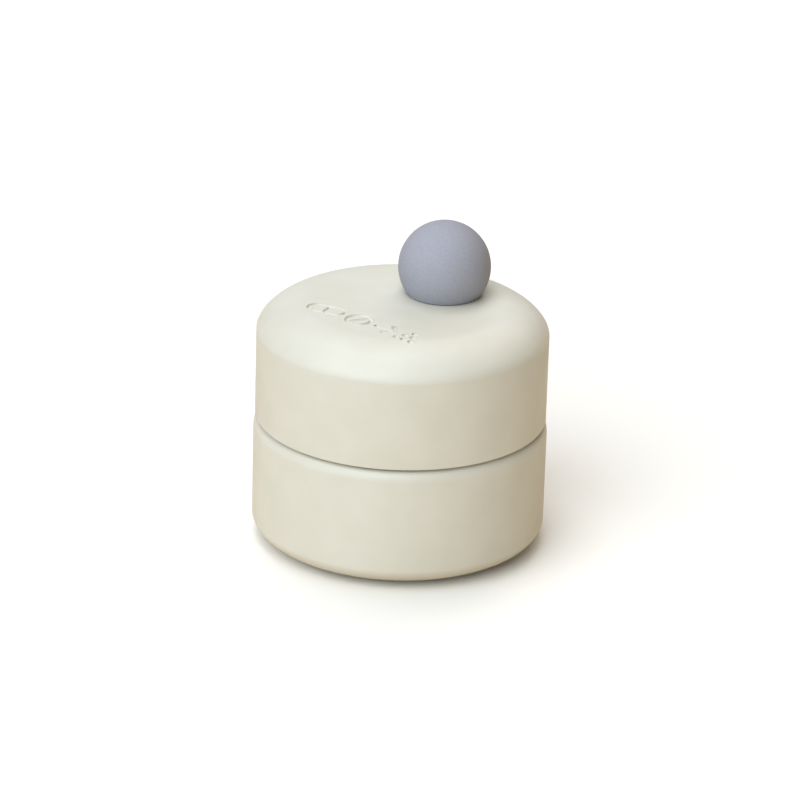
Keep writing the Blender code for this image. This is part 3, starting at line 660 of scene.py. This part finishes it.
def build_lower_plate():
    """The fixed grinding plate, with a slot for the powder between each two ridges."""
    outline = plate_outline(radius_of("lower_burr"), LOWER_FACE, bottom_of("lower_burr"))
    plate = spin("lower_grinding_plate", outline, steps=144)
    add_on(plate, ridges("lower_ridge", LOWER_FACE, 1.0, RIDGE_LEAD))
    slot = block(
        "slot", (8.5, 1.8, 4.0), (15.1, RIDGE_LEAD, LOWER_FACE - 1.0), rounding=0.85, segments=6
    )
    cut(plate, turned_copies(slot, RIDGE_COUNT, math.pi / RIDGE_COUNT))
    cut(plate, *countersink(*LOWER_SCREWS, LOWER_FACE))
    return finish_piece(plate, ground_steel, "chamber", ["lower_burr"], 25.0)


def build_upper_plate():
    """The turning plate, whose ridges lean the other way and so shear against the lower ones."""
    outline = plate_outline(radius_of("upper_burr"), top_of("upper_burr"), UPPER_FACE)
    plate = spin("upper_grinding_plate", outline, steps=144)
    add_on(plate, ridges("upper_ridge", UPPER_FACE, -1.0, -RIDGE_LEAD))
    cut(plate, *countersink(*UPPER_SCREWS, UPPER_FACE, opens_down=True))
    return finish_piece(plate, ground_steel, "head", ["upper_burr"], 25.0)


def build_carrier():
    """The plate that carries the upper grinding plate, with the hexagonal stem that the lid turns."""
    radius, bottom, stem_top = radius_of("head_carrier"), bottom_of("head_carrier"), top_of("head_carrier")
    hub, hub_top, top, screw_hole, screw_depth = 9.8, 30.7, 29.7, 1.8, 11.0
    outline = rounded(
        [
            (0.0, hub_top), (hub, hub_top, 0.3), (hub, top, 0.3), (radius, top, 0.6), (radius, bottom, 0.4),
            (0.0, bottom),
        ],
        steps=4,
    )
    carrier = spin("head_carrier_moulded", outline, steps=144)
    stem = hexagon("stem", HEX_ACROSS, top, stem_top)
    round_edges(stem, 0.35, 3)
    add_on(carrier, stem)
    cut(carrier, post("stem_hole", screw_hole, stem_top - screw_depth, stem_top + 1.0))
    return finish_piece(carrier, white_pp, "head", ["head_carrier"])


# ------------------------------------------------------------------ what the lid turns on
def build_glide_ring():
    """The ring that the lid turns on, with a grooved skirt that plugs into the housing."""
    outer, top, bottom = radius_of("glide_ring"), top_of("glide_ring"), 36.3
    skirt, skirt_bottom, bore = 28.35, bottom_of("glide_ring"), 26.45
    groove, groove_top, groove_bottom = 26.8, 35.0, 33.3
    outline = rounded(
        [
            (outer, top, 0.25), (outer, bottom, 0.25), (skirt, bottom, 0.1), (skirt, groove_top, 0.1),
            (groove, groove_top, 0.15), (groove, groove_bottom, 0.15), (skirt, groove_bottom, 0.1),
            (skirt, skirt_bottom, 0.4), (bore, skirt_bottom, 0.3), (bore, top, 0.3),
        ],
        steps=4, closed=True,
    )
    ring = spin("glide_ring_turned", outline, steps=160, closed=True)
    lug = block("lug", (3.4, 4.0, 1.8), (29.15, 0.0, 36.0), rounding=0.25)
    add_on(ring, turned_copies(lug, 3))
    return finish_piece(ring, acetal, "ring", ["glide_ring"])


def build_seal():
    """A round seal with a moulding line round the middle of its outer side."""
    circle, cord_radius, height, line_stands_out = 27.8, 0.7, 34.15, 1.0015
    deselect()
    bpy.ops.mesh.primitive_torus_add(
        major_segments=160, minor_segments=24, major_radius=circle * MM, minor_radius=cord_radius * MM,
        location=(0.0, 0.0, height * MM),
    )
    seal = settle(bpy.context.object, "plug_seal_moulded")
    outermost = (circle + cord_radius - 0.01) * MM
    pick(seal, "VERT", lambda vertex: math.hypot(vertex.co.x, vertex.co.y) > outermost)
    bpy.ops.transform.resize(
        value=(line_stands_out, line_stands_out, 1.0), center_override=(0.0, 0.0, height * MM)
    )
    leave_edit()
    return finish_piece(seal, silicone, "ring", ["plug_seal"])


# ------------------------------------------------------------------ upper half
def groove_tool(name, points, radius, closed=False):
    """A round bar along points, which cuts a smooth groove."""
    line = draw_line(name, points, closed)
    make_active(line)
    bpy.ops.object.convert(target="CURVE")
    line.data.bevel_depth = radius * MM
    line.data.bevel_resolution = 5
    line.data.use_fill_caps = True
    bpy.ops.object.convert(target="MESH")
    edit(line)
    bpy.ops.mesh.select_all(action="SELECT")
    bpy.ops.mesh.normals_make_consistent(inside=False)
    leave_edit()
    return line


def circle_points(radius, first=0.0, last=360.0, count=36):
    """Points on a circle between two angles in degrees; the last one is left out of a whole circle."""
    whole = last - first >= 360.0
    steps = count if whole else count - 1
    angles = [math.radians(first + (last - first) * i / steps) for i in range(count)]
    return [(radius * math.cos(angle), radius * math.sin(angle)) for angle in angles]


def cut_signs(lid):
    """Engraves four plain signs in a row: a capsule, a scored tablet, an arrow and a heap of powder."""
    middle, row_angle, stroke = Vector((-8.9, -13.0)), math.radians(-39.0), 0.66
    height = LID_TOP + 0.08
    along = Vector((math.cos(row_angle), math.sin(row_angle)))
    across = Vector((-along.y, along.x))

    def in_row(position, points, lean=0.0):
        """Places points of one sign in the row, on the lid's top."""
        c, s = math.cos(math.radians(lean)), math.sin(math.radians(lean))
        placed = []
        for x, y in points:
            spot = middle + along * (x * c - y * s + position) + across * (x * s + y * c)
            placed.append(Vector((spot.x, spot.y, height)))
        return placed

    half, end, lean = 2.7, 2.05, 12.0
    capsule_at, tablet_at, arrow_at, heap_at = -11.4, -1.7, 6.2, 13.4
    tablet_radius = 2.9
    capsule = [(x + half, y) for x, y in circle_points(end, -90.0, 90.0, 13)]
    capsule += [(x - half, y) for x, y in circle_points(end, 90.0, 270.0, 13)]
    outlines = [
        groove_tool("capsule", in_row(capsule_at, capsule, lean), stroke, closed=True),
        groove_tool("tablet", in_row(tablet_at, circle_points(tablet_radius)), stroke, closed=True),
        groove_tool("arrow_shaft", in_row(arrow_at, [(-3.2, 0.0), (0.0, 0.0), (2.6, 0.0)]), stroke),
    ]
    heap = [(-2.2, -2.1), (0.0, -2.1), (2.2, -2.1), (-1.1, 0.0), (1.1, 0.0), (0.0, 2.1)]
    grains = in_row(heap_at, heap)
    deselect()
    bpy.ops.mesh.primitive_uv_sphere_add(
        segments=24, ring_count=16, radius=0.86 * MM, location=grains[0] * MM
    )
    dimple = settle(bpy.context.object, "dimple")
    dimples = [dimple]
    for grain in grains[1:]:
        dimples.append(copy_piece(dimple, "dimple"))
        edit(dimples[-1])
        bpy.ops.mesh.select_all(action="SELECT")
        bpy.ops.transform.translate(value=(grain - grains[0]) * MM)
        leave_edit()
    joint = [(0.0, -end), (0.0, 0.0), (0.0, end)]
    score = [(-tablet_radius, 0.0), (0.0, 0.0), (tablet_radius, 0.0)]
    lines = [
        groove_tool("capsule_joint", in_row(capsule_at, joint, lean), stroke),
        groove_tool("score", in_row(tablet_at, score, 58.0), stroke),
        groove_tool("arrow_head", in_row(arrow_at, [(0.5, 2.5), (2.9, 0.0), (0.5, -2.5)]), stroke),
    ]
    cut(lid, join(outlines + dimples), join(lines))


def build_lid():
    """The upper shell, with posts for the liner's screws, a boss for the knob's bush, and plain signs."""
    wall, crown = 2.4, 2.6
    bore, ceiling = LID_RADIUS - wall, LID_TOP - crown
    reach, rise, fullness = 11.5, 7.0, 1.7
    outer_edge = swept_edge((LID_RADIUS - reach, LID_TOP - rise), reach, rise, 90.0, 0.0, 34, fullness)
    inner_reach, inner_rise = reach - wall, rise - 2.3
    inner_centre = (bore - inner_reach, ceiling - inner_rise)
    inner_edge = swept_edge(inner_centre, inner_reach, inner_rise, 0.0, 90.0, 14, fullness)
    bead_bore, bead_top, bead_height = 31.45, 36.0, 1.0
    outline = rounded(
        [(0.0, LID_TOP), (LID_RADIUS - reach - 0.3, LID_TOP)]
        + outer_edge
        + [
            (LID_RADIUS, LID_BOTTOM, 0.25),
            (bore, LID_BOTTOM, 0.3),
            (bore, bead_top - bead_height - 0.8, 0.2),
            (bead_bore, bead_top - bead_height, 0.2),
            (bead_bore, bead_top, 0.1),
            (bore, bead_top),
        ]
        + inner_edge
        + [(0.0, ceiling)],
        steps=6,
    )
    lid = spin("lid_shell_moulded", outline, steps=192)
    place = place_at(*LINER_SCREWS)
    post_radius, post_foot, hole_radius, hole_top = 3.4, 40.5, 1.3, 49.5
    add_on(lid, turned_copies(post("post", post_radius, post_foot, ceiling + 0.3, at=place), 3))
    cut(lid, turned_copies(post("hole", hole_radius, post_foot - 0.5, hole_top, at=place, sides=24), 3))
    boss_radius, bush_radius, seat_radius, seat_depth = 5.6, 3.9, 5.3, 1.4
    add_on(lid, post("boss", boss_radius, ceiling - 1.1, ceiling + 1.3, at=KNOB))
    cut(
        lid,
        post("bush_hole", bush_radius, ceiling - 2.0, LID_TOP + 1.0, at=KNOB),
        post("flange_seat", seat_radius, LID_TOP - seat_depth, LID_TOP + 1.0, at=KNOB),
    )
    cut_signs(lid)
    return finish_piece(lid, cream_abs, "lid", ["lid_shell"])


def build_liner():
    """The plate under the lid: a tower that holds the spring round a hexagonal socket for the stem."""
    outer, top, bottom = radius_of("lid_liner"), 40.2, bottom_of("lid_liner")
    tower_top, ceiling, tower, pocket = top_of("lid_liner"), 51.1, 14.0, 12.2
    tube, washer_bore, socket_bore, socket_top = 9.8, 8.3, 3.0, 45.1
    outline = rounded(
        [
            (washer_bore, tower_top, 0.3), (tower, tower_top, 0.6), (tower, top, 0.5), (outer, top, 0.3),
            (outer, bottom, 0.4), (pocket, bottom, 0.4), (pocket, ceiling, 0.4), (tube, ceiling, 0.4),
            (tube, bottom, 0.3), (socket_bore, bottom, 0.2), (socket_bore, socket_top, 0.1),
            (washer_bore, socket_top, 0.3),
        ],
        steps=4, closed=True,
    )
    liner = spin("lid_liner_moulded", outline, steps=144, closed=True)
    cut(liner, hexagon("socket", HEX_ACROSS + HEX_PLAY, 35.0, 47.0))
    cut(liner, *countersink(*LINER_SCREWS, bottom, opens_down=True))
    return finish_piece(liner, white_pp, "lid", ["lid_liner"])


# ------------------------------------------------------------------ screws and spring
def build_screws():
    """Flat-headed screws with a cross recess. One is modelled, and the others are turned copies of it."""
    head, shank, head_depth, point = 2.0, 1.0, 1.2, 0.5
    sets = (
        ("lower_burr_screw", LOWER_SCREWS, LOWER_FACE, SCREW_LENGTH, False, "chamber"),
        ("upper_burr_screw", UPPER_SCREWS, UPPER_FACE, SCREW_LENGTH, True, "head"),
        ("liner_screw", LINER_SCREWS, LINER_FACE, LINER_SCREW_LENGTH, True, "lid"),
    )
    for name, spot, face, length, from_below, body in sets:
        way = -1.0 if from_below else 1.0
        outline = rounded(
            [
                (0.0, face), (head, face, 0.06), (head - 0.1, face - 0.2 * way, 0.05),
                (shank, face - head_depth * way, 0.1), (shank, face - (length - point) * way, 0.1),
                (0.0, face - length * way),
            ],
            steps=3,
        )
        place = place_at(*spot)
        first = spin(f"{name}_1_fitted", outline, steps=48, at=place)
        for wide, deep in ((2.1, 0.45), (0.45, 2.1)):
            cut(first, block("recess", (wide, deep, 1.2), (*place, face), rounding=0.08))
        screws = [first]
        for i in (1, 2):
            screws.append(copy_piece(first, f"{name}_{i + 1}_fitted"))
            turn(screws[-1], math.tau * i / 3)
        for i, screw in enumerate(screws):
            finish_piece(screw, screw_steel, body, [f"{name}_{i + 1}"])


def build_spring():
    """A coil with its end turns closed, drawn at its length with the crusher closed; the real spring shortens
    as the grinding head rises.
    """
    low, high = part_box("pressure_spring")
    coil_radius, wire, turns, per_turn = 11.0, 1.2, 6, 28
    bottom, top = low.z / MM + wire / 2, high.z / MM - wire / 2
    closed_rise = wire * 1.05
    pitch = (top - bottom - 2 * closed_rise) / turns
    points = []
    for i in range((turns + 2) * per_turn + 1):
        wound = i / per_turn
        height = bottom + closed_rise * min(wound, 1.0) + pitch * min(max(wound - 1.0, 0.0), turns)
        height += closed_rise * max(wound - 1.0 - turns, 0.0)
        points.append((*place_at(coil_radius, math.tau * wound), height))
    coil = groove_tool("pressure_spring_coil", points, wire / 2)
    finish_piece(coil, spring_wire, "lid", ["pressure_spring"], 60.0)
    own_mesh(coil)


# ------------------------------------------------------------------ ball grip
def build_ball():
    """A ball cut flat below, with the washer's recess and the insert's hole sunk in the flat."""
    flat_edge, washer_ring, washer_depth, insert_wall, insert_depth = 0.15, 3.2, 1.1, 1.7, 7.8
    deselect()
    bpy.ops.mesh.primitive_uv_sphere_add(
        segments=128, ring_count=80, radius=BALL_RADIUS * MM,
        location=(KNOB[0] * MM, KNOB[1] * MM, (BALL_TOP - BALL_RADIUS) * MM),
    )
    ball = settle(bpy.context.object, "ball_grip_lacquered")
    edit(ball)
    bpy.ops.mesh.select_all(action="SELECT")
    bpy.ops.mesh.bisect(
        plane_co=(0.0, 0.0, BALL_FLAT * MM), plane_no=(0.0, 0.0, 1.0), clear_inner=True, use_fill=True
    )
    leave_edit()
    pick(ball, "FACE", lambda face: face.normal.z < -0.99 and abs(face.center.z - BALL_FLAT * MM) < 0.01 * MM)
    bpy.ops.mesh.bevel(offset=flat_edge * MM, segments=4, affect="EDGES")
    leave_edit()
    pick(ball, "FACE", lambda face: face.normal.z < -0.99 and face.area > 20 * MM * MM)
    bpy.ops.mesh.inset(thickness=washer_ring * MM)
    bpy.ops.mesh.extrude_region_move(TRANSFORM_OT_translate={"value": (0.0, 0.0, washer_depth * MM)})
    bpy.ops.mesh.inset(thickness=insert_wall * MM)
    bpy.ops.mesh.extrude_region_move(TRANSFORM_OT_translate={"value": (0.0, 0.0, insert_depth * MM)})
    bpy.ops.mesh.select_mode(type="VERT")
    leave_edit()
    return finish_piece(ball, slate_soft_touch, "knob", ["knob_ball"])


def refinish_cad_nodes():
    """Small turned pieces keep their CAD shape and get a worked finish."""
    finishes = {
        "knob_insert": turned_brass,
        "knob_pin": screw_steel,
        "knob_bush": acetal,
        "knob_washer": acetal,
        "stem_washer": screw_steel,
        "stem_screw": screw_steel,
    }
    for node, material in finishes.items():
        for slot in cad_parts[node].material_slots:
            slot.material = material


# ------------------------------------------------------------------ stage, light and camera
def build_stage():
    """A white floor and a weakly lit room, which look brighter than the light they give."""
    deselect()
    bpy.ops.mesh.primitive_plane_add(size=40.0, location=(0.0, 0.0, STAGE_HEIGHT))
    floor = bpy.context.object
    floor.name = "floor"
    # The board itself looks white. The light it throws back onto the crusher is warmer and weaker.
    material, shader = new_finish("matt_white_board", Roughness=0.9)
    path = add_node(material, "ShaderNodeLightPath")
    board = add_node(
        material, "ShaderNodeMix", {"data_type": "RGBA", MIX_A: srgb("#E6D4B9"), MIX_B: srgb("#F8F4E9")},
        {MIX_FACTOR: path.outputs["Is Camera Ray"]},
    )
    material.node_tree.links.new(board.outputs[MIX_RESULT], shader.inputs["Base Color"])
    floor.data.materials.append(material)

    # The room gives a weak warm light, and looks white where it is seen past the floor.
    world = bpy.data.worlds.new("studio")
    bpy.context.scene.world = world
    world.use_nodes = True
    room = world.node_tree.nodes["Background"]
    room.inputs["Color"].default_value = (1.0, 0.8, 0.5, 1.0)
    room.inputs["Strength"].default_value = 0.10
    seen = add_node(world, "ShaderNodeBackground", {"Color": (1.0, 1.0, 1.0, 1.0)})
    path = add_node(world, "ShaderNodeLightPath")
    mix = add_node(
        world, "ShaderNodeMixShader", links={
            "Fac": path.outputs["Is Camera Ray"],
            1: room.outputs["Background"],
            2: seen.outputs["Background"],
        },
    )
    output = world.node_tree.nodes["World Output"]
    world.node_tree.links.new(mix.outputs["Shader"], output.inputs["Surface"])


def add_light(name, azimuth, elevation, strength, colour, softness):
    """A far, soft light. Its azimuth is in degrees to the right of the camera's side."""
    deselect()
    bpy.ops.object.light_add(type="SUN")
    lamp = bpy.context.object
    lamp.name = name
    lamp.data.energy = strength
    lamp.data.color = colour
    lamp.data.angle = math.radians(softness)
    around, up = math.radians(azimuth), math.radians(elevation)
    towards = Vector((math.cos(up) * math.sin(around), -math.cos(up) * math.cos(around), math.sin(up)))
    lamp.location = towards
    lamp.rotation_euler = towards.to_track_quat("Z", "Y").to_euler()


def light_scene():
    """Two broad lights from the front left, two low cool ones under them, and three from behind."""
    add_light("key_front", -22.0, 46.0, 1.33, (0.96, 0.99, 1.0), 60.0)
    add_light("key_left", -40.0, 46.0, 1.62, (0.77, 0.85, 1.0), 60.0)
    add_light("top_back", -150.0, 75.0, 1.17, (0.86, 0.89, 1.0), 32.0)
    add_light("front_low", -12.0, 12.0, 0.75, (0.4, 0.66, 1.0), 50.0)
    add_light("left_low", -62.0, 15.0, 0.4, (0.3, 0.55, 0.9), 50.0)
    add_light("back_right", 155.0, 45.0, 0.62, (1.0, 0.9, 0.79), 32.0)
    add_light("back_low", 180.0, 18.0, 0.44, (0.65, 0.79, 1.0), 50.0)


def place_camera():
    """Looks down on the crusher from the front, through a long lens, tilted a little to one side."""
    elevation, roll, distance, pivot = math.radians(22.559), math.radians(1.746), 1.01836, 0.03584
    stand = Vector((0.0, -distance * math.cos(elevation), pivot + distance * math.sin(elevation)))
    aim = Vector((-0.000207, 0.0, 0.034204))
    deselect()
    bpy.ops.object.camera_add(location=stand)
    camera = bpy.context.object
    camera.name = "camera"
    camera.data.sensor_width = 36.0
    camera.data.lens = 192.726
    camera.data.clip_start, camera.data.clip_end = 0.05, 50.0
    camera.rotation_mode = "QUATERNION"
    camera.rotation_quaternion = (stand - aim).to_track_quat("Z", "Y") @ Quaternion((0.0, 0.0, 1.0), roll)
    bpy.context.scene.camera = camera


build_base()
build_foot_pad()
build_cup()
build_housing()
build_lower_plate()
build_upper_plate()
build_carrier()
build_glide_ring()
build_seal()
build_lid()
build_liner()
build_screws()
build_spring()
build_ball()
refinish_cad_nodes()
build_stage()
light_scene()
place_camera()
bpy.context.scene.view_settings.view_transform = "Standard"
